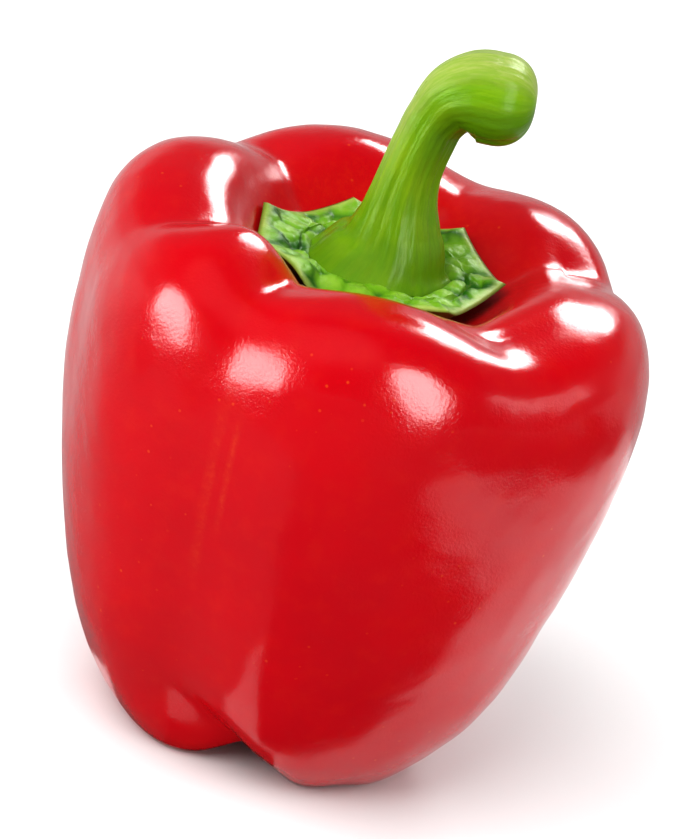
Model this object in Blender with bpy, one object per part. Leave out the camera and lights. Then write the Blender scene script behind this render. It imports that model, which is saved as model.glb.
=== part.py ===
# Bell pepper: a lobed fruit, the calyx that caps it and the cut stem, standing on its three lobe tips.
# Metres, +Z up. The origin is the middle of the underside, level with the surface the fruit stands on.
# Directions are in degrees, anticlockwise from +X seen from above.

import math

import bmesh
import bpy
import numpy as np
from mathutils import Vector
from mathutils.geometry import interpolate_bezier

COLLECTION = "bell_pepper"
PIECE_GAP = 0.0003          # clearance left between neighbouring pieces

# Stem
STALK_RADIUS = 0.0049
FOOT_RADIUS = 0.0119        # where the stalk spreads out over the calyx
KNOB_RADIUS = 0.0075        # the swollen cut end
FOOT_SHARE = 0.60           # share of the stalk's length over which the foot narrows
FOOT_SWEEP = 2.8            # 1 narrows the foot evenly, more than 1 narrows it fastest at the bottom
LEVEL_SHARE = 0.15          # share over which its sections turn from level to square to the middle line
KNOB_START, KNOB_FULL = 0.68, 0.96
FLUTES = 5
FLUTE_DEPTH = 0.05          # share of the stalk's radius
END_DOME = 0.0056           # how far the cut end stands out beyond the middle line
END_ROUNDNESS = 0.75        # 1 rounds the cut end off like a ball, 0 leaves it square
END_SHARE = 0.12            # share of the rings of its mesh that each closed end takes
STEM_LINE = (               # middle line of the stalk in its plane of symmetry: x, height over the calyx
    (-0.0008, 0.0000),
    (0.0003, 0.0036),
    (0.0003, 0.0073),
    (0.0001, 0.0110),
    (0.0001, 0.0146),
    (0.0004, 0.0183),
    (0.0010, 0.0219),
    (0.0018, 0.0256),
    (0.0036, 0.0291),
    (0.0067, 0.0309),
    (0.0103, 0.0313),
)

# Fruit: the outline of its mean section, from the blossom scar underneath to the seat under the calyx
SCAR_HEIGHT = 0.0080        # roof of the hollow between the lobe tips
TIP_RADIUS = 0.0205         # ring on which the lobe tips stand
HEEL_REACH = 0.0095         # how far the outline runs out level before it turns up
SIDE_REACH = 0.0300         # how far it runs straight down from the belly
BELLY_RADIUS = 0.0454       # widest mean section
BELLY_HEIGHT = 0.0660
SHOULDER_HEIGHT = 0.0213    # crest of the shoulders over the belly
SHOULDER_FULLNESS = 0.72    # 0.55 makes the shoulder a quarter ellipse, more makes it squarer
CREST_RADIUS = 0.0300
BOWL_DEPTH = 0.0108         # seat of the calyx below the crest
SEAT_MARGIN = 0.0011        # how far the level seat reaches beyond the foot of the stem
LIP_FULLNESS = 0.44         # how far the bowl's wall runs level from the crest, as a share of its reach
SEAT_FULLNESS = 0.33        # and from the seat
SHOULDER_TILT = 0.0015      # how much the shoulders rise on the high side and drop on the other
BOWL_TILT = 0.25            # share of that tilt halfway down the bowl
HIGH_SIDE = 165

CREST_HEIGHT = BELLY_HEIGHT + SHOULDER_HEIGHT
SEAT_HEIGHT = CREST_HEIGHT - BOWL_DEPTH
SEAT_RADIUS = FOOT_RADIUS + SEAT_MARGIN

# Furrows between the lobes: direction at the crest, down the side and at the foot,
# depth at the crest, at the belly, halfway down the side and at the foot, then softness
FURROWS = (
    (22, 23, 25, 0.0040, 0.0022, 0.0014, 0.0045, 1.0),
    (72, 78, 85, 0.0030, 0.0010, 0.0003, 0.0000, 1.5),
    (136, 144, 150, 0.0045, 0.0022, 0.0014, 0.0045, 1.0),
    (208, 194, 194, 0.0034, 0.0015, 0.0005, 0.0000, 1.0),
    (243, 247, 271, 0.0042, 0.0026, 0.0028, 0.0055, 1.1),
    (311, 316, 325, 0.0036, 0.0015, 0.0004, 0.0000, 2.2),
)
BOWL_FURROW = 0.45          # depth halfway down the bowl as a share of the depth at the crest

# How blunt a furrow of softness 1 is: 0 is a crease, 0.5 a valley, at the foot, side, belly, crest and bowl
BLUNTNESS = (0.30, 0.50, 0.45, 0.16, 0.10)

# Lobe tips: direction, and how far the heel of the lobe swells beyond the mean section
FOOT_LOBES = (
    (226, 0.0014),
    (334, 0.0017),
    (90, 0.0014),
)
TIP_SWELL = 0.52            # the swell at the very tip, as a share of the heel's
LOBE_HALF_WIDTH = 60        # degrees from a lobe's middle to where its swell ends

# Levels up the side, as shares of the way from the lobe tips to the belly
HEEL_LEVEL = 0.30           # where the lobe tips' swell is greatest
FLANK_LEVEL = 0.60          # where it ends
TURN_LEVEL = 0.25           # where the furrows have turned from their foot to their side direction

# Calyx: points of its rim, each a direction, a reach from the axis and how far it stands off the fruit
CALYX_POINTS = (
    (5, 0.0197, 0.0014),
    (57, 0.0206, 0.0014),
    (112, 0.0202, 0.0006),
    (170, 0.0212, 0.0003),
    (213, 0.0216, 0.0001),
    (237, 0.0207, 0.0001),
    (305, 0.0204, 0.0018),
)
RIM_BOW = 0.25              # how far the rim bows out between two points, 0 being straight and 1 round
CALYX_THICKNESS = 0.0024    # over the level seat
RIM_THICKNESS = 0.0009
RIM_SHARE = 0.35            # share of the calyx's reach over which it lifts and thins
RIM_ROUND = 0.05            # share over which its edge is rounded

# Fineness of the meshes
OUTLINE_STEPS = 60
FRUIT_SEGMENTS, FRUIT_RINGS = 72, 66
CALYX_SEGMENTS, CALYX_RINGS = 72, 16
STEM_SEGMENTS, STEM_RINGS, STEM_STEPS = 28, 30, 400


def smooth(x):
    """Eases from 0 to 1 with level ends."""
    x = np.clip(x, 0.0, 1.0)
    return x * x * (3.0 - 2.0 * x)


def eased(t, stations, values):
    """Passes through the values at the stations, level at each."""
    stations, values = np.asarray(stations), np.asarray(values)
    i = np.clip(np.searchsorted(stations, t, side="right") - 1, 0, len(stations) - 2)
    u = (t - stations[i]) / (stations[i + 1] - stations[i])
    return values[i] + (values[i + 1] - values[i]) * smooth(u)


def turned_from(angle, direction):
    """Degrees between two directions, either way round."""
    return np.abs((angle - direction + 180.0) % 360.0 - 180.0)


def mean_outline():
    """The fruit's mean section: radius, height and outward direction against the share of its length,
    and the share at each of its knots."""
    knots = [
        (0.0, SCAR_HEIGHT),
        (TIP_RADIUS, 0.0),
        (BELLY_RADIUS, BELLY_HEIGHT),
        (CREST_RADIUS, CREST_HEIGHT),
        (SEAT_RADIUS, SEAT_HEIGHT),
        (0.0, SEAT_HEIGHT),
    ]
    shoulder = SHOULDER_FULLNESS * (BELLY_RADIUS - CREST_RADIUS)
    rise = SHOULDER_FULLNESS * SHOULDER_HEIGHT
    bowl = CREST_RADIUS - SEAT_RADIUS
    lip, brim = LIP_FULLNESS * bowl, SEAT_FULLNESS * bowl
    handles = [
        ((TIP_RADIUS / 2, SCAR_HEIGHT), (TIP_RADIUS / 2, 0.0)),
        ((TIP_RADIUS + HEEL_REACH, 0.0), (BELLY_RADIUS, BELLY_HEIGHT - SIDE_REACH)),
        ((BELLY_RADIUS, BELLY_HEIGHT + rise), (CREST_RADIUS + shoulder, CREST_HEIGHT)),
        ((CREST_RADIUS - lip, CREST_HEIGHT), (SEAT_RADIUS + brim, SEAT_HEIGHT)),
        ((SEAT_RADIUS * 2 / 3, SEAT_HEIGHT), (SEAT_RADIUS / 3, SEAT_HEIGHT)),
    ]
    points, ends = [Vector((*knots[0], 0.0))], [0]
    for start, stop, (leave, arrive) in zip(knots, knots[1:], handles):
        corners = (Vector((*p, 0.0)) for p in (start, leave, arrive, stop))
        points.extend(interpolate_bezier(*corners, OUTLINE_STEPS)[1:])
        ends.append(len(points) - 1)
    line = np.array([(p.x, p.y) for p in points])
    length = np.concatenate([[0.0], np.cumsum(np.hypot(*np.diff(line, axis=0).T))])
    share = length / length[-1]
    along = np.gradient(line, length, axis=0)
    along /= np.linalg.norm(along, axis=1)[:, None]
    table = np.column_stack([line, along[:, 1], -along[:, 0]])
    return share, table, share[ends]


SHARE, OUTLINE, KNOTS = mean_outline()
TIP, BELLY, CREST, SEAT = KNOTS[1:5]
BOWL = (CREST + SEAT) / 2


def level_up(share):
    """The place on the outline this share of the way from the lobe tips to the belly."""
    return TIP + (BELLY - TIP) * share


def furrow_depth(angle, t):
    """Depth of the furrows below the lobes' crowns."""
    turns = (0.0, TIP, level_up(TURN_LEVEL), BELLY, CREST, 1.0)
    middle = (TIP + BELLY) / 2
    levels = (0.0, TIP, middle, BELLY, CREST, BOWL, SEAT, 1.0)
    places, depths, softness = [], [], []
    for at_crest, at_side, at_foot, crest, belly, side, foot, soft in FURROWS:
        places.append(eased(t, turns, (at_foot, at_foot, at_side, at_side, at_crest, at_crest)))
        depths.append(eased(t, levels, (0.0, foot, side, belly, crest, BOWL_FURROW * crest, 0.0, 0.0)))
        softness.append(soft)
    blunt = eased(t, (TIP, middle, BELLY, CREST, BOWL), BLUNTNESS)
    depth = np.zeros_like(t)
    for i in range(len(FURROWS)):
        after = (i + 1) % len(FURROWS)
        u = ((angle - places[i]) % 360.0) / ((places[after] - places[i]) % 360.0)
        edge = blunt * (softness[i] + (softness[after] - softness[i]) * smooth(u))
        crown = (np.sqrt(np.sin(math.pi * u) ** 2 + edge ** 2) - edge) / (np.sqrt(1 + edge ** 2) - edge)
        between = depths[i] + (depths[after] - depths[i]) * smooth(u)
        depth = np.where(u <= 1.0, between * (1.0 - crown), depth)
    return depth


def fruit_surface(angle, t, stand_off=0.0):
    """Points on the fruit at shares of its outline, or some way off its skin."""
    r, z, out_r, out_z = (np.interp(t, SHARE, column) for column in OUTLINE.T)
    stations = (0.0, TIP, level_up(HEEL_LEVEL), level_up(FLANK_LEVEL), 1.0)
    low = eased(t, stations, (0.0, TIP_SWELL, 1.0, 0.0, 0.0))
    high = eased(t, (0.0, BELLY, CREST, BOWL, SEAT), (0.0, 0.0, 1.0, BOWL_TILT, 0.0))
    swell = SHOULDER_TILT * high * np.cos(np.radians(angle - HIGH_SIDE))
    for direction, amount in FOOT_LOBES:
        swell += amount * low * (1.0 - smooth(turned_from(angle, direction) / LOBE_HALF_WIDTH))
    push = swell - furrow_depth(angle, t) + stand_off
    r, z = r + push * out_r, z + push * out_z
    turn = np.radians(angle)
    return np.stack([r * np.cos(turn), r * np.sin(turn), np.maximum(z, 0.0)], axis=-1)


def rim_line(angle):
    """How far the calyx's rim is from the axis, and how far it stands off the fruit."""
    reach, lift = np.zeros_like(angle), np.zeros_like(angle)
    following = CALYX_POINTS[1:] + CALYX_POINTS[:1]
    for (start, near, low), (stop, far, high) in zip(CALYX_POINTS, following):
        span = math.radians((stop - start) % 360.0)
        u = np.radians((angle - start) % 360.0) / span
        straight = math.sin(span) / (np.sin(u * span) / far + np.sin((1.0 - u) * span) / near)
        bowed = near + (far - near) * u
        reach = np.where(u <= 1.0, straight + RIM_BOW * (bowed - straight), reach)
        lift = np.where(u <= 1.0, low + (high - low) * smooth(u), lift)
    return reach, lift


def calyx_surface(angle, share):
    """The calyx: its underside follows the bowl, and it thins and lifts towards its rim."""
    inward = np.abs(share - 0.5) * 2.0
    bowl = SHARE >= CREST
    reach, lift = rim_line(angle)
    rim = np.interp(-reach, -OUTLINE[bowl, 0], SHARE[bowl])
    t = 1.0 - (1.0 - rim) * (1.0 - inward)
    full = smooth(inward / RIM_SHARE)
    under = PIECE_GAP + lift * (1.0 - full)
    thickness = RIM_THICKNESS + (CALYX_THICKNESS - RIM_THICKNESS) * full
    over = under + thickness * np.sqrt(np.clip(inward / RIM_ROUND, 0.0, 1.0))
    return fruit_surface(angle, t, np.where(share > 0.5, over, under))


def stalk_line(along):
    """Middle line of the stalk and its direction, at shares of its length."""
    knots = np.linspace(0.0, 1.0, len(STEM_LINE))
    fine = np.linspace(0.0, 1.0, STEM_STEPS)
    line = np.zeros((STEM_STEPS, 3))
    for axis, values in zip((0, 2), np.array(STEM_LINE).T):
        slopes = np.gradient(values, knots)
        i = np.clip(np.searchsorted(knots, fine, side="right") - 1, 0, len(knots) - 2)
        step = knots[1]
        u = (fine - knots[i]) / step
        line[:, axis] = values[i] + (values[i + 1] - values[i]) * smooth(u)
        line[:, axis] += step * u * (1.0 - u) * ((1.0 - u) * slopes[i] - u * slopes[i + 1])
    line[:, 2] += SEAT_HEIGHT + PIECE_GAP + CALYX_THICKNESS + PIECE_GAP
    heading = np.gradient(line, axis=0)
    heading /= np.linalg.norm(heading, axis=1)[:, None]
    return (np.stack([np.interp(along, fine, v) for v in table.T], axis=-1) for table in (line, heading))


def stem_surface(angle, share):
    """The stalk: fluted round sections square to its middle line, a flat foot and a domed cut end."""
    along = np.clip((share - END_SHARE) / (1.0 - 2.0 * END_SHARE), 0.0, 1.0)
    middle, heading = stalk_line(along)
    heading[:, 0] *= smooth(along / LEVEL_SHARE)
    heading /= np.linalg.norm(heading, axis=1)[:, None]
    sideways = np.array([0.0, 1.0, 0.0])
    across = np.cross(sideways, heading)
    foot = np.clip(1.0 - along / FOOT_SHARE, 0.0, 1.0) ** FOOT_SWEEP
    knob = smooth((along - KNOB_START) / (KNOB_FULL - KNOB_START))
    radius = STALK_RADIUS + (FOOT_RADIUS - STALK_RADIUS) * foot + (KNOB_RADIUS - STALK_RADIUS) * knob
    turn = np.radians(angle)
    radius *= 1.0 - FLUTE_DEPTH * (0.5 - 0.5 * np.cos(FLUTES * turn))
    over_end = np.clip((share - 1.0 + END_SHARE) / END_SHARE, 0.0, 1.0) * math.pi / 2
    radius *= np.clip(share / END_SHARE, 0.0, 1.0) * np.cos(over_end) ** END_ROUNDNESS
    return (
        middle
        + across * (radius * np.cos(turn))[:, None]
        + sideways * (radius * np.sin(turn))[:, None]
        + heading * (END_DOME * np.sin(over_end))[:, None]
    )


def shaped_sphere(name, segments, rings, surface):
    """A closed sphere moved onto a surface of (direction, share of the way from south to north pole)."""
    bm = bmesh.new()
    bmesh.ops.create_uvsphere(bm, u_segments=segments, v_segments=rings, radius=1.0)
    unit = np.array([vert.co[:] for vert in bm.verts])
    angle = np.degrees(np.arctan2(unit[:, 1], unit[:, 0])) % 360.0
    share = 1.0 - np.arccos(np.clip(unit[:, 2], -1.0, 1.0)) / math.pi
    for vert, point in zip(bm.verts, surface(angle, share)):
        vert.co = point
    mesh = bpy.data.meshes.new(name)
    bm.to_mesh(mesh)
    bm.free()
    mesh.shade_smooth()
    return bpy.data.objects.new(name, mesh)


def skin(name, color, roughness):
    """A plain material."""
    material = bpy.data.materials.new(name)
    material.use_nodes = True
    shader = material.node_tree.nodes["Principled BSDF"]
    shader.inputs["Base Color"].default_value = (*color, 1.0)
    shader.inputs["Roughness"].default_value = roughness
    shader.inputs["Metallic"].default_value = 0.0
    return material


def make_fruit():
    fruit = shaped_sphere("fruit", FRUIT_SEGMENTS, FRUIT_RINGS, fruit_surface)
    fruit.data.materials.append(skin("ripe_skin", (0.70, 0.0, 0.01), 0.2))
    return fruit


def make_calyx():
    calyx = shaped_sphere("calyx", CALYX_SEGMENTS, CALYX_RINGS, calyx_surface)
    calyx.data.materials.append(skin("calyx_green", (0.10, 0.30, 0.03), 0.5))
    return calyx


def make_stem():
    stem = shaped_sphere("stem", STEM_SEGMENTS, STEM_RINGS, stem_surface)
    stem.data.materials.append(skin("stem_green", (0.25, 0.45, 0.04), 0.4))
    return stem


def main():
    for old in list(bpy.data.objects):
        bpy.data.objects.remove(old, do_unlink=True)
    pieces = bpy.data.collections.new(COLLECTION)
    bpy.context.scene.collection.children.link(pieces)
    for piece in (make_fruit(), make_calyx(), make_stem()):
        pieces.objects.link(piece)


main()
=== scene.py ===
import math

import bpy
import numpy as np
from mathutils import Matrix, Vector
from mathutils.geometry import interpolate_bezier


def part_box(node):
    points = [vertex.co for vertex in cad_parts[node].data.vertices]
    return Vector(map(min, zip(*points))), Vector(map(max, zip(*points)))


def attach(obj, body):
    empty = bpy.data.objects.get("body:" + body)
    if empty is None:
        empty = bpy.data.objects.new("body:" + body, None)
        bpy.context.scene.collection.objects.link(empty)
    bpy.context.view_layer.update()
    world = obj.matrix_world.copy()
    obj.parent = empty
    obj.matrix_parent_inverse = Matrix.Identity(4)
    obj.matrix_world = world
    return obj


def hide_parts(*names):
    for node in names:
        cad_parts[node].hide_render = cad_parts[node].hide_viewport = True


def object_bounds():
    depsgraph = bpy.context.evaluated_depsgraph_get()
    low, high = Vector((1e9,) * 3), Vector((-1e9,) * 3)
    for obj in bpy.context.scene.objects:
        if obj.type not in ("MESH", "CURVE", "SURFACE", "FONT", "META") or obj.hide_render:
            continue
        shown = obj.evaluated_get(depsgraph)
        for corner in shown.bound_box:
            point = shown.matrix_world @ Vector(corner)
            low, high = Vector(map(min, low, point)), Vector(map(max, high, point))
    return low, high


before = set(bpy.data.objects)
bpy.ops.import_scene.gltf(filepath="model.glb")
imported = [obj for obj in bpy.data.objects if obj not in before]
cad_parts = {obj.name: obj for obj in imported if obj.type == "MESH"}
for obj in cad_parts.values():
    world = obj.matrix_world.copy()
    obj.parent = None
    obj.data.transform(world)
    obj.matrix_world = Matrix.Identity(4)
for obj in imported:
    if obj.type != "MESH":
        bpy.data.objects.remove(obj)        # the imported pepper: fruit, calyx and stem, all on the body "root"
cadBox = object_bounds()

# A ripe bell pepper on a pale studio floor. Directions are degrees anticlockwise from +X, seen from above.


def smooth(x):                                  # 0 to 1 with level ends
    x = np.clip(x, 0.0, 1.0)
    return x * x * (3.0 - 2.0 * x)


def ramp(x, start, span):                       # 0 up to start, 1 from start + span
    return smooth((x - start) / span)


def eased(t, stations, values):                 # through the values at the stations, level at each
    stations, values = np.asarray(stations, float), np.asarray(values, float)
    i = np.clip(np.searchsorted(stations, t, side="right") - 1, 0, len(stations) - 2)
    u = (t - stations[i]) / (stations[i + 1] - stations[i])
    return values[i] + (values[i + 1] - values[i]) * smooth(u)


def turnedFrom(angle, direction):               # degrees between two directions, either way round
    return np.abs((angle - direction + 180.0) % 360.0 - 180.0)


def closedSkin(name, segments, rings, surface):
    # a closed mesh on surface(direction, share): a ring of points at each share, and one point at each pole
    turn, step = np.meshgrid(np.arange(segments), np.arange(1, rings))
    angle = np.concatenate([[0.0], turn.ravel() * 360.0 / segments, [0.0]])
    share = np.concatenate([[0.0], step.ravel() / rings, [1.0]])
    first = 1 + turn[:-1] + (step[:-1] - 1) * segments
    second = 1 + (turn[:-1] + 1) % segments + (step[:-1] - 1) * segments
    faces = np.stack([first, second, second + segments, first + segments], axis=-1).reshape(-1, 4).tolist()
    top, last = len(angle) - 1, 1 + (rings - 2) * segments
    for i in range(segments):
        after = (i + 1) % segments
        faces.append((0, 1 + after, 1 + i))
        faces.append((top, last + i, last + after))
    mesh = bpy.data.meshes.new(name)
    mesh.from_pydata(surface(angle, share).tolist(), [], faces)
    mesh.shade_smooth()
    piece = bpy.data.objects.new(name, mesh)
    bpy.context.scene.collection.objects.link(piece)
    return piece, angle, share


def weigh(piece, name, values):                 # a vertex group with these weights
    group = piece.vertex_groups.new(name=name)
    for i, value in enumerate(values):
        group.add([i], float(value), "REPLACE")


def dent(piece, name, size, depth, where):
    # soft relief about size across, more in than out, held to the vertex group called where
    texture = bpy.data.textures.new(name, "CLOUDS")
    texture.noise_scale = size
    texture.noise_depth = 1
    relief = piece.modifiers.new(name, "DISPLACE")
    relief.texture = texture
    relief.texture_coords = "LOCAL"
    relief.strength = depth
    relief.mid_level = 0.8
    relief.vertex_group = where


def keep(mesh, name, values):                   # a value for each vertex that the material reads
    layer = mesh.attributes.new(name, "FLOAT", "POINT")
    layer.data.foreach_set("value", np.asarray(values, np.float32))


fruitSizes = {
    "scarHeight": 0.0080,        # roof of the hollow between the lobe tips
    "tipRadius": 0.0205,
    "heelReach": 0.0095,
    "sideReach": 0.0300,
    "bellyRadius": 0.0454,
    "bellyHeight": 0.0660,
    "crestRadius": 0.0300,
    "crestHeight": 0.0873,
    "shoulderFullness": 0.72,
    "lipFullness": 0.44,
    "seatFullness": 0.33,
    "seatRadius": 0.0130,
    "shoulderTilt": 0.0015,
    "highSide": 165,             # direction in which the shoulders stand higher
    # furrows: direction at crest, side and foot, depth at crest, belly, mid side and foot, softness
    "furrows": (
        (22, 23, 25, 0.0040, 0.0022, 0.0014, 0.0045, 1.0),
        (72, 78, 85, 0.0030, 0.0010, 0.0003, 0.0000, 1.5),
        (136, 144, 150, 0.0045, 0.0022, 0.0014, 0.0045, 1.0),
        (208, 194, 194, 0.0034, 0.0015, 0.0005, 0.0000, 1.0),
        (243, 247, 271, 0.0042, 0.0026, 0.0028, 0.0055, 1.1),
        (311, 316, 325, 0.0036, 0.0015, 0.0004, 0.0000, 2.2),
    ),
    "bowlFurrow": 0.45,          # depth in the bowl as a share of the depth at the crest
    "bowlTilt": 0.25,            # and the same of the shoulders' tilt
    # levels as shares of the way from the lobe tips up to the belly: where the feet swell most, where
    # that swell ends, and where the furrows have turned from their foot to their side direction
    "heelLevel": 0.30,
    "flankLevel": 0.60,
    "turnLevel": 0.25,
    "bluntness": (0.30, 0.50, 0.45, 0.16, 0.10),   # of the furrows at tip, mid side, belly, crest and bowl
    "feet": ((226, 0.0014), (334, 0.0017), (90, 0.0014)),   # lobe tips: direction, swell of the heel
    "tipSwell": 0.52,
    "footWidth": 60,
    "dents": (("softDents", 0.022, 0.0009), ("waves", 0.009, 0.00018), ("ripples", 0.0045, 0.00010)),
    "dentsFrom": 0.0002,         # height over the floor where the dents start, and over how much they grow
    "dentsFade": 0.004,
    # faint lines up the skin: direction, width in degrees, from and to as shares of the way to the belly
    "streaks": ((247, 0.7, 0.55, 1.02), (251, 0.4, 0.7, 0.95)),
    "streakFade": 0.05,
    "segments": 320,
    "rings": 240,
}
seatGap = 0.0003                                # the calyx hangs this far clear of its seat
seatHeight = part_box("calyx")[0].z - seatGap


def meanOutline(s):
    knots = [
        (0.0, s["scarHeight"]),
        (s["tipRadius"], 0.0),
        (s["bellyRadius"], s["bellyHeight"]),
        (s["crestRadius"], s["crestHeight"]),
        (s["seatRadius"], seatHeight),
        (0.0, seatHeight),
    ]
    half = s["tipRadius"] / 2
    rise = s["shoulderFullness"] * (s["crestHeight"] - s["bellyHeight"])
    reach = s["shoulderFullness"] * (s["bellyRadius"] - s["crestRadius"])
    bowl = s["crestRadius"] - s["seatRadius"]
    lip, brim = s["lipFullness"] * bowl, s["seatFullness"] * bowl
    handles = [
        ((half, s["scarHeight"]), (half, 0.0)),
        ((s["tipRadius"] + s["heelReach"], 0.0), (s["bellyRadius"], s["bellyHeight"] - s["sideReach"])),
        ((s["bellyRadius"], s["bellyHeight"] + rise), (s["crestRadius"] + reach, s["crestHeight"])),
        ((s["crestRadius"] - lip, s["crestHeight"]), (s["seatRadius"] + brim, seatHeight)),
        ((s["seatRadius"] * 2 / 3, seatHeight), (s["seatRadius"] / 3, seatHeight)),
    ]
    points, ends = [Vector((*knots[0], 0.0))], [0]
    for start, stop, (leave, arrive) in zip(knots, knots[1:], handles):
        corners = (Vector((*p, 0.0)) for p in (start, leave, arrive, stop))
        points.extend(interpolate_bezier(*corners, 200)[1:])
        ends.append(len(points) - 1)
    line = np.array([(p.x, p.y) for p in points])
    length = np.concatenate([[0.0], np.cumsum(np.hypot(*np.diff(line, axis=0).T))])
    share = length / length[-1]
    along = np.gradient(line, length, axis=0)
    along /= np.linalg.norm(along, axis=1)[:, None]
    return share, np.column_stack([line, along[:, 1], -along[:, 0]]), share[ends]


outlineShare, outline, knotShare = meanOutline(fruitSizes)
tipAt, bellyAt, crestAt, seatAt = knotShare[1:5]
bowlAt = (crestAt + seatAt) / 2


def levelUp(share):                             # place on the outline between the lobe tips and the belly
    return tipAt + (bellyAt - tipAt) * share


def furrowDepth(angle, t, s=fruitSizes):
    middle = levelUp(0.5)
    turns = (0.0, tipAt, levelUp(s["turnLevel"]), bellyAt, crestAt, 1.0)
    levels = (0.0, tipAt, middle, bellyAt, crestAt, bowlAt, seatAt, 1.0)
    places, depths, softs = [], [], []
    for atCrest, atSide, atFoot, crest, belly, side, foot, softness in s["furrows"]:
        places.append(eased(t, turns, (atFoot, atFoot, atSide, atSide, atCrest, atCrest)))
        depths.append(eased(t, levels, (0.0, foot, side, belly, crest, s["bowlFurrow"] * crest, 0.0, 0.0)))
        softs.append(softness)
    blunt = eased(t, (tipAt, middle, bellyAt, crestAt, bowlAt), s["bluntness"])
    depth = np.zeros_like(t)
    for i in range(len(places)):
        after = (i + 1) % len(places)
        u = ((angle - places[i]) % 360.0) / ((places[after] - places[i]) % 360.0)
        soft = blunt * (softs[i] + (softs[after] - softs[i]) * smooth(u))
        crown = (np.sqrt(np.sin(math.pi * u) ** 2 + soft ** 2) - soft) / (np.sqrt(1 + soft ** 2) - soft)
        between = depths[i] + (depths[after] - depths[i]) * smooth(u)
        depth = np.where(u <= 1.0, between * (1.0 - crown), depth)
    return depth


def fruitSurface(angle, t, standOff=0.0, s=fruitSizes):
    r, z, outR, outZ = (np.interp(t, outlineShare, column) for column in outline.T)
    stations = (0.0, tipAt, levelUp(s["heelLevel"]), levelUp(s["flankLevel"]), 1.0)
    low = eased(t, stations, (0.0, s["tipSwell"], 1.0, 0.0, 0.0))
    high = eased(t, (0.0, bellyAt, crestAt, bowlAt, seatAt), (0.0, 0.0, 1.0, s["bowlTilt"], 0.0))
    swell = s["shoulderTilt"] * high * np.cos(np.radians(angle - s["highSide"]))
    for direction, amount in s["feet"]:
        swell += amount * low * (1.0 - smooth(turnedFrom(angle, direction) / s["footWidth"]))
    push = swell - furrowDepth(angle, t) + standOff
    r, z = r + push * outR, z + push * outZ
    turn = np.radians(angle)
    return np.stack([r * np.cos(turn), r * np.sin(turn), np.maximum(z, 0.0)], axis=-1)


def makeFruit(s=fruitSizes):
    piece, angle, t = closedSkin("pepperFruit", s["segments"], s["rings"], fruitSurface)
    height = fruitSurface(angle, t)[:, 2]
    free = ramp(height, s["dentsFrom"], s["dentsFade"]) * (1.0 - ramp(t, crestAt, seatAt - crestAt))
    weigh(piece, "free", free)
    for name, size, depth in s["dents"]:
        dent(piece, name, size, depth, "free")
    streak = np.zeros_like(t)
    for direction, width, low, high in s["streaks"]:
        length = ramp(t, levelUp(low), s["streakFade"]) * (1.0 - ramp(t, levelUp(high), s["streakFade"]))
        streak += np.exp(-(turnedFrom(angle, direction) / width) ** 2) * length
    keep(piece.data, "streak", streak)
    keep(piece.data, "bowl", ramp(t, crestAt, bowlAt - crestAt))
    return piece


calyxSizes = {
    # points of the rim: direction, reach from the axis, how far it stands off the fruit
    "points": (
        (5, 0.0197, 0.0014),
        (57, 0.0206, 0.0014),
        (112, 0.0202, 0.0006),
        (170, 0.0212, 0.0003),
        (213, 0.0216, 0.0001),
        (237, 0.0207, 0.0001),
        (305, 0.0204, 0.0018),
    ),
    "rimBow": 0.25,
    "thickness": 0.0024,
    "rimThickness": 0.0007,
    "rimShare": 0.35,            # shares of the way in from the rim: up to full thickness, its round edge,
    "rimRound": 0.03,            # its pale band, and where blisters and wrinkles have grown in
    "rimBand": 0.07,
    "blistersBy": 0.14,
    "wrinklesBy": 0.06,
    "smoothFrom": 0.42,          # where both end under the stem's foot, and over how much they fade
    "smoothFade": 0.10,
    "blister": 0.0014,           # height of the blisters round the stem's foot, and how far apart
    "blisterSize": 0.0044,
    "wrinkle": 0.0003,           # the same for the finer wrinkles out to the rim
    "wrinkleSize": 0.0013,
    "scatter": 0.024,            # half the width of the patch they are scattered over
    "segments": 360,
    "rings": 120,
}


def rimLine(angle, s=calyxSizes):               # the rim's reach from the axis, and its lift off the fruit
    reach, lift = np.zeros_like(angle), np.zeros_like(angle)
    for (start, near, low), (stop, far, high) in zip(s["points"], s["points"][1:] + s["points"][:1]):
        span = math.radians((stop - start) % 360.0)
        u = np.radians((angle - start) % 360.0) / span
        straight = math.sin(span) / (np.sin(u * span) / far + np.sin((1.0 - u) * span) / near)
        bowed = near + (far - near) * u
        reach = np.where(u <= 1.0, straight + s["rimBow"] * (bowed - straight), reach)
        lift = np.where(u <= 1.0, low + (high - low) * smooth(u), lift)
    return reach, lift


def blisters(place, size, seed, s=calyxSizes):   # 1 on top of each blister, 0 in the creases between them
    rows = np.arange(-s["scatter"], s["scatter"], size)
    grid = np.stack(np.meshgrid(rows, rows), axis=-1)
    middles = grid + size * (np.random.default_rng(seed).random(grid.shape) - 0.5)
    nearest = np.full(len(place), np.inf)
    for middle in middles.reshape(-1, 2):
        nearest = np.minimum(nearest, np.hypot(*(place[:, :2] - middle).T))
    return 1.0 - np.clip(nearest / (0.8 * size), 0.0, 1.0) ** 2


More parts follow.
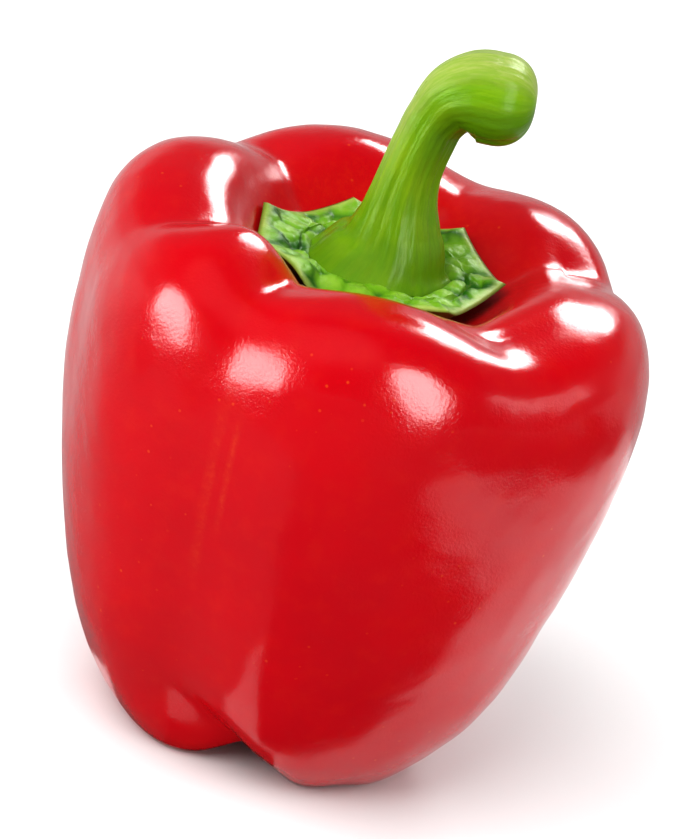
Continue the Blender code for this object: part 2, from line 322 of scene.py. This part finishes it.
def calyxSurface(angle, share, s=calyxSizes):
    inward = np.abs(share - 0.5) * 2.0
    bowl = outlineShare >= crestAt
    reach, lift = rimLine(angle)
    rim = np.interp(-reach, -outline[bowl, 0], outlineShare[bowl])
    t = 1.0 - (1.0 - rim) * (1.0 - inward)
    full = ramp(inward, 0.0, s["rimShare"])
    under = seatGap + lift * (1.0 - full)
    thickness = s["rimThickness"] + (s["thickness"] - s["rimThickness"]) * full
    over = under + thickness * np.sqrt(np.clip(inward / s["rimRound"], 0.0, 1.0))
    place = fruitSurface(angle, t)
    rough = 1.0 - ramp(inward, s["smoothFrom"], s["smoothFade"])
    over += s["blister"] * ramp(inward, 0.0, s["blistersBy"]) * rough * blisters(place, s["blisterSize"], 5)
    over += s["wrinkle"] * ramp(inward, 0.0, s["wrinklesBy"]) * rough * blisters(place, s["wrinkleSize"], 8)
    return fruitSurface(angle, t, np.where(share > 0.5, over, under))


def makeCalyx(s=calyxSizes):
    piece, angle, share = closedSkin("pepperCalyx", s["segments"], s["rings"], calyxSurface)
    inward = np.abs(share - 0.5) * 2.0
    place = np.array([vert.co[:] for vert in piece.data.vertices])
    keep(piece.data, "rim", 1.0 - ramp(inward, 0.0, s["rimBand"]))
    keep(piece.data, "under", (share <= 0.5).astype(float))
    # blister heights, which the material turns into painted shade in the creases and painted light on the tops
    keep(piece.data, "lump", blisters(place, s["blisterSize"], 5))
    return piece


stemSizes = {
    "stalkRadius": 0.0049,
    "footRadius": 0.0119,
    "knobRadius": 0.0075,
    "footShare": 0.60,
    "footSweep": 2.8,
    "levelShare": 0.15,          # share over which its sections turn from level to square
    "knobStart": 0.68,
    "knobFull": 0.96,
    "flutes": 5,
    "fluteDepth": 0.05,
    "ribs": ((9, 0.026, 3.0), (17, 0.012, -4.0), (31, 0.006, 2.0)),   # how many, depth, twist over the length
    "inset": 0.012,              # share of its radius by which it stays inside its plain body
    "endDome": 0.0056,
    "endSquareness": 0.75,
    "endShare": 0.12,
    "line": (                    # middle line of the stalk: x, height over its foot
        (-0.0008, 0.0000),
        (0.0003, 0.0036),
        (0.0003, 0.0073),
        (0.0001, 0.0110),
        (0.0001, 0.0146),
        (0.0004, 0.0183),
        (0.0010, 0.0219),
        (0.0018, 0.0256),
        (0.0036, 0.0291),
        (0.0067, 0.0309),
        (0.0103, 0.0313),
    ),
    # start and span of the painted light and painted shade: round the stalk, by how far it faces the hook, and
    # up its length
    "litSide": (0.45, 0.50),    # painted light on the outside of the hook
    "litHeight": (0.25, 0.50),
    "shadySide": (-0.50, 0.90),  # painted shade on the inside of the hook
    "shadyHeight": (0.35, 0.35),
    "segments": 192,
    "rings": 240,
}


def stalkLine(along, s=stemSizes):              # middle line of the stalk and its heading
    count = 600
    knots = np.linspace(0.0, 1.0, len(s["line"]))
    fine = np.linspace(0.0, 1.0, count)
    line = np.zeros((count, 3))
    for axis, values in zip((0, 2), np.array(s["line"]).T):
        slopes = np.gradient(values, knots)
        i = np.clip(np.searchsorted(knots, fine, side="right") - 1, 0, len(knots) - 2)
        u = (fine - knots[i]) / knots[1]
        line[:, axis] = values[i] + (values[i + 1] - values[i]) * smooth(u)
        line[:, axis] += knots[1] * u * (1.0 - u) * ((1.0 - u) * slopes[i] - u * slopes[i + 1])
    line[:, 2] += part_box("stem")[0].z
    heading = np.gradient(line, axis=0)
    heading /= np.linalg.norm(heading, axis=1)[:, None]
    columns = np.hstack([line, heading]).T
    placed = np.stack([np.interp(along, fine, column) for column in columns], axis=-1)
    return placed[:, :3], placed[:, 3:]


def stemSurface(angle, share, s=stemSizes):
    along = np.clip((share - s["endShare"]) / (1.0 - 2.0 * s["endShare"]), 0.0, 1.0)
    middle, heading = stalkLine(along)
    heading[:, 0] *= ramp(along, 0.0, s["levelShare"])
    heading /= np.linalg.norm(heading, axis=1)[:, None]
    sideways = np.array([0.0, 1.0, 0.0])
    across = np.cross(sideways, heading)
    foot = np.clip(1.0 - along / s["footShare"], 0.0, 1.0) ** s["footSweep"]
    knob = ramp(along, s["knobStart"], s["knobFull"] - s["knobStart"])
    stalk = s["stalkRadius"]
    radius = stalk + (s["footRadius"] - stalk) * foot + (s["knobRadius"] - stalk) * knob
    turn = np.radians(angle)
    radius *= (1.0 - s["inset"]) * (1.0 - s["fluteDepth"] * (0.5 - 0.5 * np.cos(s["flutes"] * turn)))
    for count, depth, twist in s["ribs"]:
        radius *= 1.0 - depth * (0.5 - 0.5 * np.cos(count * turn + twist * along))
    overEnd = np.clip((share - 1.0 + s["endShare"]) / s["endShare"], 0.0, 1.0) * math.pi / 2
    radius *= np.clip(share / s["endShare"], 0.0, 1.0) * np.cos(overEnd) ** s["endSquareness"]
    return (
        middle
        + across * (radius * np.cos(turn))[:, None]
        + sideways * (radius * np.sin(turn))[:, None]
        + heading * (s["endDome"] * np.sin(overEnd))[:, None]
    )


def makeStem(s=stemSizes):
    piece, angle, share = closedSkin("pepperStem", s["segments"], s["rings"], stemSurface)
    turn = np.radians(angle)
    keep(piece.data, "along", share)
    keep(piece.data, "aroundX", np.cos(turn))
    keep(piece.data, "aroundY", np.sin(turn))
    above = (share - s["endShare"]) / (1.0 - 2.0 * s["endShare"])
    # painted light on the side facing away from the hook's bend, painted shade on the side inside it and under
    # the club
    keep(piece.data, "paintedLight", ramp(-np.cos(turn), *s["litSide"]) * ramp(above, *s["litHeight"]))
    keep(piece.data, "paintedShade", ramp(np.cos(turn), *s["shadySide"]) * ramp(above, *s["shadyHeight"]))
    return piece


class Wire:                                     # one shader value, usable in Python sums
    def __init__(self, paint, socket):
        self.paint, self.socket = paint, socket

    def combine(self, operation, a, b):
        return self.paint.add("ShaderNodeMath", {"operation": operation}, {0: a, 1: b})

    def __add__(self, other):
        return self.combine("ADD", self, other)

    def __sub__(self, other):
        return self.combine("SUBTRACT", self, other)

    def __rsub__(self, other):
        return self.combine("SUBTRACT", other, self)

    def __mul__(self, other):
        return self.combine("MULTIPLY", self, other)

    __radd__, __rmul__ = __add__, __mul__


class Paint:                                    # the nodes of a material or of the world
    def __init__(self, owner):
        owner.use_nodes = True
        self.owner, self.tree = owner, owner.node_tree
        self.tree.nodes.clear()

    def add(self, kind, settings, sockets, output=0):
        node = self.tree.nodes.new(kind)
        for name, value in settings.items():
            setattr(node, name, value)
        for name, value in sockets.items():
            if isinstance(value, Wire):
                self.tree.links.new(value.socket, node.inputs[name])
            else:
                node.inputs[name].default_value = value
        return Wire(self, node.outputs[output]) if node.outputs else None

    def noise(self, at, scale, detail=2.0, rough=0.5):
        sockets = {"Vector": at, "Scale": scale, "Detail": detail, "Roughness": rough}
        return self.add("ShaderNodeTexNoise", {}, sockets, "Fac")

    def value(self, name):                      # what keep() stored under that name
        return self.add("ShaderNodeAttribute", {"attribute_name": name}, {}, "Fac")

    def spots(self, at, scale, size):           # small round spots, one in each cell
        sockets = {"Vector": at, "Scale": scale, "Randomness": 1.0}
        distance = self.add("ShaderNodeTexVoronoi", {"feature": "F1"}, sockets, "Distance")
        return self.band(distance, 0.5 * size, size, 1.0, 0.0)

    def band(self, value, low, high, start=0.0, stop=1.0):   # value from low to high becomes start to stop
        sockets = {"Value": value, "From Min": low, "From Max": high, "To Min": start, "To Max": stop}
        return self.add("ShaderNodeMapRange", {"interpolation_type": "SMOOTHSTEP"}, sockets, "Result")

    def mix(self, share, first, second):
        first, second = ((*c, 1.0) if isinstance(c, tuple) else c for c in (first, second))
        return self.add("ShaderNodeMix", {"data_type": "RGBA"}, {0: share, 6: first, 7: second}, 2)

    def bump(self, at, relief, normal=None):
        scale, detail, rough, depth, strength = relief
        height = self.noise(at, scale, detail, rough)
        sockets = {"Height": height, "Distance": depth, "Strength": strength}
        if normal:
            sockets["Normal"] = normal
        return self.add("ShaderNodeBump", {}, sockets, "Normal")

    def finish(self, sockets, shader="ShaderNodeBsdfPrincipled", end="ShaderNodeOutputMaterial"):
        self.add(end, {}, {"Surface": self.add(shader, {}, sockets)})
        return self.owner


# In the looks, the plain numbers are the fineness of each pattern's noise, and each relief is its
# fineness, detail, roughness, depth and strength.

skinLook = {
    "red": (0.44, 0.0001, 0.005),
    "deepRed": (0.36, 0.0001, 0.006),
    "warmRed": (0.48, 0.010, 0.004),
    "orange": (0.60, 0.080, 0.010),
    "patches": 38.0,
    "mottle": 260.0,
    "granules": 900.0,
    "speckGroups": 55.0,
    "specks": 420.0,
    "speckSize": 0.13,           # as a share of the way from one speck to the next
    "smears": 120.0,
    "softRelief": (330.0, 3.0, 0.5, 0.00012, 0.35),
    "grain": (2200.0, 2.0, 0.6, 0.00007, 0.6),
    "roughness": 0.165,
    "specular": 0.35,
    "coat": 0.2,
    "coatRoughness": 0.12,
}


def ripeSkin(look=skinLook):
    paint = Paint(bpy.data.materials.new("ripeSkin"))
    at = paint.add("ShaderNodeTexCoord", {}, {}, "Object")
    patches = paint.band(paint.noise(at, look["patches"], 3.0), 0.35, 0.7)
    color = paint.mix(patches * 0.5, look["red"], look["deepRed"])
    mottle = paint.band(paint.noise(at, look["mottle"], 3.0, 0.6), 0.45, 0.75)
    color = paint.mix(mottle * 0.25, color, look["warmRed"])
    # warmer and finely streaked inside the crown, with a few faint lines up the side
    granules = paint.band(paint.noise(at, look["granules"], 3.0, 0.7), 0.45, 0.65)
    color = paint.mix(paint.value("bowl") * (0.25 + 0.3 * granules), color, look["warmRed"])
    color = paint.mix(paint.value("streak") * (0.08 + 0.14 * granules), color, look["orange"])
    # tiny orange specks in loose groups
    groups = paint.band(paint.noise(at, look["speckGroups"], 2.0), 0.52, 0.66)
    specks = paint.spots(at, look["specks"], look["speckSize"]) * groups
    color = paint.mix(specks * 0.45, color, look["orange"])
    return paint.finish({
        "Base Color": color,
        "Roughness": look["roughness"] + 0.08 * (paint.noise(at, look["smears"], 3.0) - 0.5),
        "Specular IOR Level": look["specular"],
        "Coat Weight": look["coat"],
        "Coat Roughness": look["coatRoughness"],
        "Normal": paint.bump(at, look["grain"], paint.bump(at, look["softRelief"])),
    })


calyxLook = {
    "green": (0.12, 0.29, 0.008),
    "yellowGreen": (0.26, 0.44, 0.040),
    "deepGreen": (0.018, 0.10, 0.004),
    "paleRim": (0.30, 0.38, 0.08),
    "olive": (0.15, 0.19, 0.02),
    "cork": (0.24, 0.24, 0.08),
    "patches": 420.0,
    "corkSpecks": 700.0,
    "smears": 600.0,
    "grain": (1500.0, 3.0, 0.6, 0.0002, 0.6),
    "roughness": 0.32,
    "specular": 0.16,
}


def calyxGreen(look=calyxLook):
    paint = Paint(bpy.data.materials.new("calyxGreen"))
    at = paint.add("ShaderNodeTexCoord", {}, {}, "Object")
    patches = paint.band(paint.noise(at, look["patches"], 3.0), 0.35, 0.65)
    lump = paint.value("lump")
    # painted shade: darker green in the creases between the blisters; painted light: paler yellow-green on
    # their tops
    color = paint.mix(paint.band(lump, 0.15, 0.75), look["deepGreen"], look["green"])
    color = paint.mix(paint.band(lump, 0.6, 1.0) * (0.15 + 0.4 * patches), color, look["yellowGreen"])
    cork = paint.band(paint.noise(at, look["corkSpecks"], 4.0, 0.7), 0.58, 0.68)
    color = paint.mix(cork * 0.3, color, look["cork"])
    color = paint.mix(paint.value("rim") * (0.6 + 0.4 * patches), color, look["paleRim"])
    color = paint.mix(paint.value("under"), color, look["olive"])
    return paint.finish({
        "Base Color": color,
        "Roughness": look["roughness"] + 0.3 * paint.noise(at, look["smears"]),
        "Specular IOR Level": look["specular"],
        "Normal": paint.bump(at, look["grain"]),
    })


stemLook = {
    "green": (0.125, 0.28, 0.002),
    "paleGreen": (0.20, 0.34, 0.006),
    "deepGreen": (0.050, 0.13, 0.002),
    "paintedLightGreen": (0.42, 0.44, 0.15),
    "stretch": 1.6,              # length of the stalk in the streaks' noise, where its radius is 1
    "streaks": 5.0,
    "fineStreaks": 16.0,
    "patches": 160.0,
    "blotches": 75.0,
    "smears": 300.0,
    "ribs": (8.0, 3.0, 0.5, 0.0004, 0.35),
    "grain": (1200.0, 3.0, 0.6, 0.0001, 0.5),
    "roughness": 0.22,
    "specular": 0.10,
}


def stemGreen(look=stemLook):
    paint = Paint(bpy.data.materials.new("stemGreen"))
    at = paint.add("ShaderNodeTexCoord", {}, {}, "Object")
    length = paint.value("along") * look["stretch"]
    around = {0: paint.value("aroundX"), 1: paint.value("aroundY"), 2: length}
    grainAt = paint.add("ShaderNodeCombineXYZ", {}, around)
    streaks = paint.band(paint.noise(grainAt, look["streaks"], 4.0, 0.6), 0.38, 0.66)
    fine = paint.band(paint.noise(grainAt, look["fineStreaks"], 3.0, 0.6), 0.4, 0.65)
    patches = paint.band(paint.noise(at, look["patches"], 3.0), 0.4, 0.7)
    color = paint.mix(0.5 * streaks + 0.3 * patches, look["green"], look["paleGreen"])
    color = paint.mix(fine * 0.08, color, look["deepGreen"])
    # darker at the foot, with painted shade inside the hook and painted light on the outside of it
    blotches = paint.band(paint.noise(at, look["blotches"], 3.0, 0.6), 0.42, 0.68)
    foot = paint.band(paint.value("along"), 0.15, 0.55, 0.35, 0.0)
    color = paint.mix(foot + 0.2 * blotches, color, look["deepGreen"])
    color = paint.mix(paint.value("paintedLight") * (0.3 + 0.25 * fine), color, look["paintedLightGreen"])
    color = paint.mix(paint.value("paintedShade") * (0.6 + 0.3 * streaks), color, look["deepGreen"])
    return paint.finish({
        "Base Color": color,
        "Roughness": look["roughness"] + 0.2 * paint.noise(at, look["smears"]),
        "Specular IOR Level": look["specular"],
        "Normal": paint.bump(at, look["grain"], paint.bump(grainAt, look["ribs"])),
    })


studio = {
    "floorSize": 12.0,
    "floorColor": (0.80, 0.80, 0.80),
    "world": 0.70,               # brightness of the room as light, and as it reflects in front and behind
    "reflectedFront": 0.005,
    "reflectedBack": 0.50,
    "backFrom": (0.0, 0.6),      # how far back a direction points where it starts and stops to brighten
    "reflectedAbove": 0.30,      # share of that above the horizon's glow
    "glowFades": (0.12, 0.42),   # how far up a direction points where the glow starts and stops to fade
    # area lights: direction round the object, height angle, distance, width, height, radiance, and
    # whether it lights the object or only shines in its gloss
    "lights": (
        ("keyBox", 228, 53, 1.5, 1.6, 1.6, 3.9, True),
        ("leftFill", 172, 12, 1.5, 1.2, 1.2, 1.6, True),
        ("rightFill", 12, 12, 1.5, 1.2, 1.2, 2.0, True),
        ("leftBox", 210, 3, 0.55, 0.36, 0.32, 12.0, False),
        ("rightBox", 304, 27, 1.0, 0.52, 0.80, 12.0, False),
        ("sideBox", 358, 17, 1.0, 0.07, 0.24, 5.0, False),
        ("backBox", 72, 37, 1.1, 0.52, 0.46, 16.0, False),
    ),
    # cards on the floor round the fruit, seen only in reflections: grey in front, grey behind, outline
    "cards": (
        ("frontCard", 0.005, 0.005, ((-1.6, -1.6), (1.6, -1.6), (1.6, 0.12), (0.17, 0.12), (0.17, -0.12),
                                     (0.095, -0.12), (0.095, -0.03), (0.0, -0.03), (-0.06, -0.15),
                                     (-0.15, -0.15), (-0.15, -0.04), (-1.6, -0.04))),
        ("leftCard", 0.15, 0.42, ((-0.149, -0.149), (-0.0605, -0.149), (-0.0135, -0.057), (-0.013, -0.012),
                                  (-0.030, -0.012), (-0.030, 1.6), (-1.6, 1.6), (-1.6, -0.039),
                                  (-0.149, -0.039))),
        ("footCard", 0.05, 0.05, ((-0.015, -0.029), (0.004, -0.029), (0.004, 0.0), (-0.015, 0.0))),
        ("backCard", 0.35, 0.35, ((-0.029, 0.125), (1.6, 0.125), (1.6, 1.6), (-0.029, 1.6))),
    ),
    "cardFade": (-0.03, 0.13),   # how far back it turns from the front grey to the one behind
    "cardLift": 0.001,
}

cameraSetup = {
    "elevation": 24.0,
    "lean": 15.5,                # how far the view leans over, so that the stem points up and right
    "distance": 0.9,
    "frameHeight": 0.13317,      # height of what the view takes in at the object
    "aimX": 0.00148,             # middle of the view, sideways and upwards from the object's origin
    "aimUp": 0.04865,
    "sensor": 36.0,
}


def makeCamera(s=cameraSetup):
    camera = bpy.data.objects.new("studioCamera", bpy.data.cameras.new("studioCamera"))
    bpy.context.scene.collection.objects.link(camera)
    camera.data.sensor_width = s["sensor"]
    camera.data.lens = s["sensor"] * s["distance"] / s["frameHeight"]
    tilt = math.radians(s["elevation"])
    back = Vector((0.0, -math.cos(tilt), math.sin(tilt)))
    right = Vector((1.0, 0.0, 0.0))
    up = back.cross(right)
    lean = Matrix.Rotation(math.radians(s["lean"]), 4, "Z")
    turned = Matrix((right, up, back)).transposed().to_4x4() @ lean
    turned.translation = right * s["aimX"] + up * s["aimUp"] + back * s["distance"]
    camera.matrix_world = turned
    camera.data.clip_end = 50.0
    bpy.context.scene.camera = camera


def makeFloor(s=studio):
    bpy.ops.mesh.primitive_plane_add(size=s["floorSize"], location=(0.0, 0.0, 0.0))
    floor = bpy.context.object
    floor.name = "studioFloor"
    paint = Paint(bpy.data.materials.new("paleFloor"))
    at = paint.add("ShaderNodeTexCoord", {}, {}, "Object")
    tone = paint.band(paint.noise(at, 3.0, 2.0), 0.3, 0.7, 0.97, 1.0)
    color = paint.mix(tone, tuple(0.97 * c for c in s["floorColor"]), s["floorColor"])
    floor.data.materials.append(paint.finish({"Base Color": color, "Roughness": 0.7}))


def makeCards(s=studio):
    for name, front, behind, outline in s["cards"]:
        mesh = bpy.data.meshes.new(name)
        mesh.from_pydata([(x, y, s["cardLift"]) for x, y in outline], [], [range(len(outline))])
        card = bpy.data.objects.new(name, mesh)
        bpy.context.scene.collection.objects.link(card)
        card.visible_camera = card.visible_diffuse = card.visible_shadow = False
        paint = Paint(bpy.data.materials.new(name))
        color = (front, front, front, 1.0)
        if behind != front:
            at = paint.add("ShaderNodeTexCoord", {}, {}, "Object")
            fade = paint.band(paint.add("ShaderNodeSeparateXYZ", {}, {0: at}, "Y"), *s["cardFade"])
            color = paint.mix(fade, color[:3], (behind, behind, behind))
        card.data.materials.append(paint.finish({"Base Color": color, "Roughness": 1.0}))


def makeLights(s=studio):
    aim = (cadBox[0] + cadBox[1]) / 2
    for name, direction, height, distance, wide, high, radiance, lights in s["lights"]:
        lamp = bpy.data.lights.new(name, "AREA")
        lamp.shape, lamp.size, lamp.size_y = "ELLIPSE", wide, high
        lamp.energy = radiance * wide * high * math.pi ** 2 / 4    # watts for this brightness of its face
        turn, tilt = math.radians(direction), math.radians(height)
        away = Vector((math.cos(turn) * math.cos(tilt), math.sin(turn) * math.cos(tilt), math.sin(tilt)))
        light = bpy.data.objects.new(name, lamp)
        light.location = aim + away * distance
        light.rotation_euler = (-away).to_track_quat("-Z", "Y").to_euler()
        light.visible_diffuse, light.visible_glossy = lights, not lights
        bpy.context.scene.collection.objects.link(light)


def makeWorld(s=studio):
    paint = Paint(bpy.data.worlds.new("softRoom"))
    at = paint.add("ShaderNodeTexCoord", {}, {}, "Generated")
    back = paint.add("ShaderNodeSeparateXYZ", {}, {0: at}, "Y")
    up = paint.add("ShaderNodeSeparateXYZ", {}, {0: at}, "Z")
    reflected = paint.band(back, *s["backFrom"], s["reflectedFront"], s["reflectedBack"])
    reflected = reflected * paint.band(up, *s["glowFades"], 1.0, s["reflectedAbove"])
    gloss = paint.add("ShaderNodeLightPath", {}, {}, "Is Glossy Ray")
    strength = paint.add("ShaderNodeMix", {}, {0: gloss, 2: s["world"], 3: reflected})
    sockets = {"Color": (1.0, 1.0, 1.0, 1.0), "Strength": strength}
    bpy.context.scene.world = paint.finish(sockets, "ShaderNodeBackground", "ShaderNodeOutputWorld")


def main():
    makeCamera()
    fruit, calyx, stem = makeFruit(), makeCalyx(), makeStem()
    print("shapes made")
    for piece, node, slot, material in (
        (fruit, "fruit", "ripe_skin", ripeSkin()),
        (calyx, "calyx", "calyx_green", calyxGreen()),
        (stem, "stem", "stem_green", stemGreen()),
    ):
        piece.data.materials.append(material)
        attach(piece, "root")
        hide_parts(node)
    print("materials made")
    makeFloor()
    makeCards()
    makeLights()
    makeWorld()
    bpy.context.scene.view_settings.view_transform = "Standard"
    bpy.context.scene.view_settings.look = "Medium High Contrast"
    print("studio made")


main()
